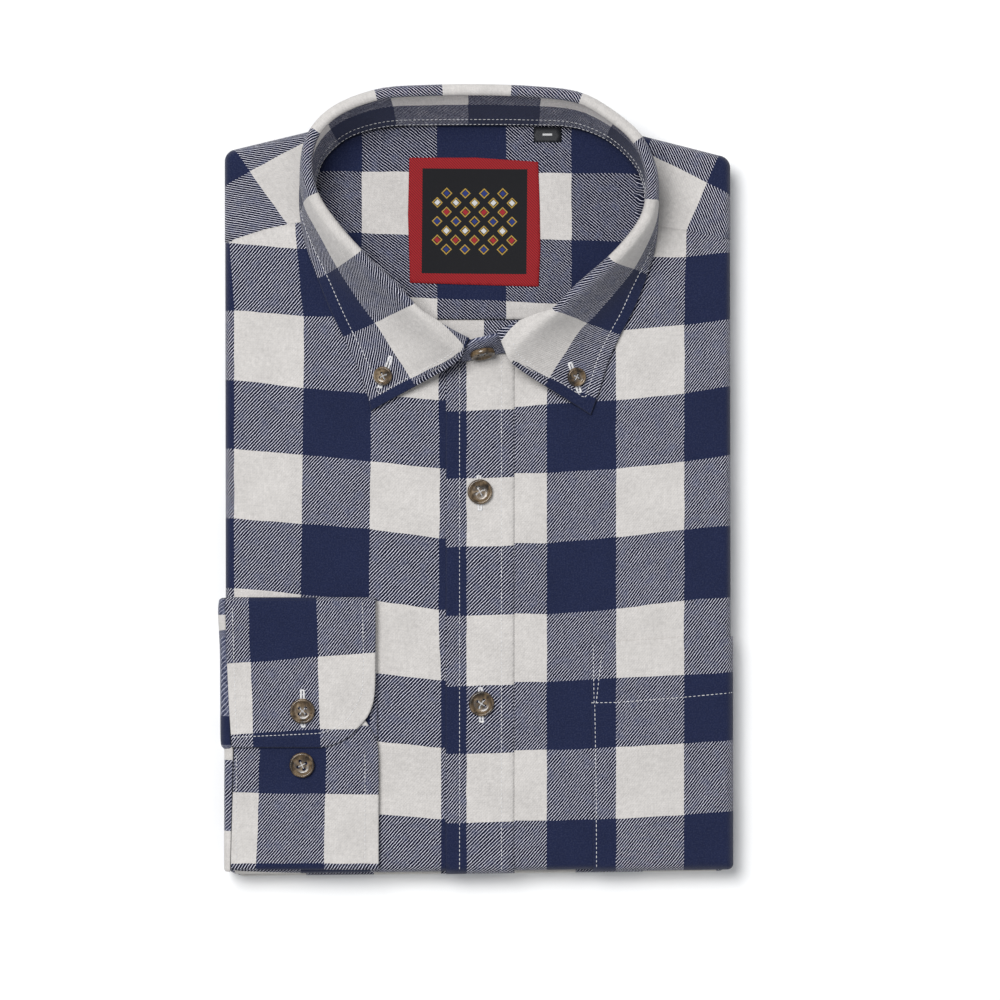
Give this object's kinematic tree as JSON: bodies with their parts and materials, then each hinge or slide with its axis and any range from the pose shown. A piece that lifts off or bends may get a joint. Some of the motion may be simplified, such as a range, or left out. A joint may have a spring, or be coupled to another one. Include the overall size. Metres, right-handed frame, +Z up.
{
  "type": "folded flannel shirt",
  "caption": "Long-sleeved button-down shirt in brushed check flannel, folded flat with its collar buttoned and standing and one cuff laid on the front.",
  "frame": {"origin": "Centre of the folded shirt's bounding box in plan, on the plane that its underside rests on.", "axes": "+Z up, out of the shirt's front; +Y from hem fold to collar, the longest extent; +X towards the wearer's left side, which is on the right when the front is seen."},
  "size_m": [0.2378, 0.3641, 0.0567],
  "materials": {
    "check_flannel": "brushed cotton twill in a navy and cream buffalo check",
    "woven_label": "damask woven polyester",
    "black_tab": "woven tape",
    "horn_button": "polished horn-look resin"
  },
  "bodies": {
    "root": {"right_front": "check_flannel", "left_front": "check_flannel", "placket": "check_flannel", "yoke_outside": "check_flannel", "yoke_inside": "check_flannel", "back_inside": "check_flannel", "collar_stand": "check_flannel", "collar_leaf": "check_flannel", "pocket": "check_flannel", "right_sleeve": "check_flannel", "cuff": "check_flannel", "folded_core": "check_flannel", "label": "woven_label", "size_tab": "black_tab", "button_front_upper": "horn_button", "button_front_lower": "horn_button", "button_neck": "horn_button", "button_collar_right": "horn_button", "button_collar_left": "horn_button", "button_cuff_over": "horn_button", "button_cuff_under": "horn_button"}
  },
  "joints": []
}
